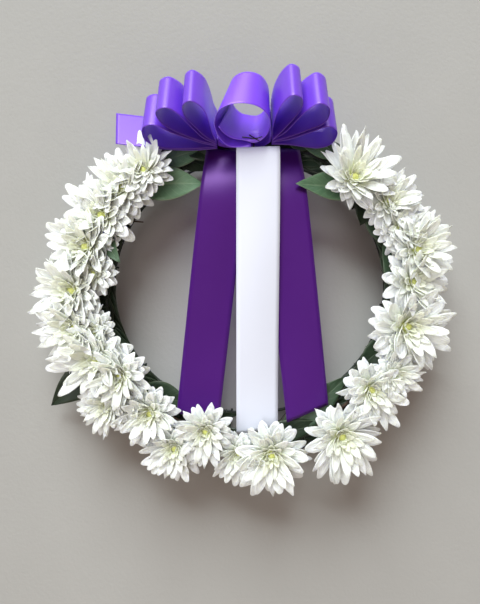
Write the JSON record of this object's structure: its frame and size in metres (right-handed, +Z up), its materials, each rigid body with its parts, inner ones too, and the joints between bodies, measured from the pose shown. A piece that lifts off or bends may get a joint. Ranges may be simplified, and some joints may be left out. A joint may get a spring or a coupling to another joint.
{
  "type": "memorial wreath",
  "caption": "Ring of white spray chrysanthemums and glossy leaves on a wire frame, with a violet pull bow at the top and three ribbon streamers across the ring.",
  "frame": {"origin": "The nail point: on the wall plane y = 0, level with the underside of the outer back ring at the top of the wire frame, on the ring's middle line.", "axes": "+Z up, -Y out of the wall towards the viewer (the flowers and the bow face -Y), +X to the viewer's right. The ring lies in the XZ plane."},
  "size_m": [0.4126, 0.101, 0.4026],
  "materials": {
    "frame_wire": "dark green enamel",
    "tie_wire": "dull thin wire",
    "violet_ribbon": "glossy synthetic ribbon",
    "white_satin": "satin",
    "petals": "matt, soft",
    "leaves": "waxy"
  },
  "bodies": {
    "root": {"wire_frame": "frame_wire", "bow_loop_left_low": "violet_ribbon", "bow_loop_left_middle": "violet_ribbon", "bow_loop_left_high": "violet_ribbon", "bow_loop_centre": "violet_ribbon", "bow_loop_right_high": "violet_ribbon", "bow_loop_right_middle": "violet_ribbon", "bow_loop_right_low": "violet_ribbon", "bow_tail": "violet_ribbon", "bow_middle": "violet_ribbon", "bow_tie_wire": "tie_wire", "sash": "white_satin", "streamer_left": "violet_ribbon", "streamer_right": "violet_ribbon", "twig_top_left": "leaves", "twig_left": "leaves", "twig_low_left": "leaves", "twig_bottom_left": "leaves", "twig_bottom": "leaves", "twig_low_right": "leaves", "twig_right": "leaves", "twig_high_right": "leaves", "twig_top_right": "leaves", "flower_01": "petals", "flower_02": "petals", "flower_03": "petals", "flower_04": "petals", "flower_05": "petals", "flower_06": "petals", "flower_07": "petals", "flower_08": "petals", "flower_09": "petals", "flower_10": "petals", "flower_11": "petals", "flower_12": "petals", "flower_13": "petals", "flower_14": "petals", "flower_15": "petals", "flower_16": "petals", "flower_17": "petals", "flower_18": "petals", "flower_19": "petals", "flower_20": "petals", "flower_21": "petals", "flower_22": "petals", "flower_23": "petals", "flower_24": "petals", "flower_25": "petals", "flower_26": "petals", "flower_27": "petals", "flower_bud": "petals"}
  },
  "joints": []
}
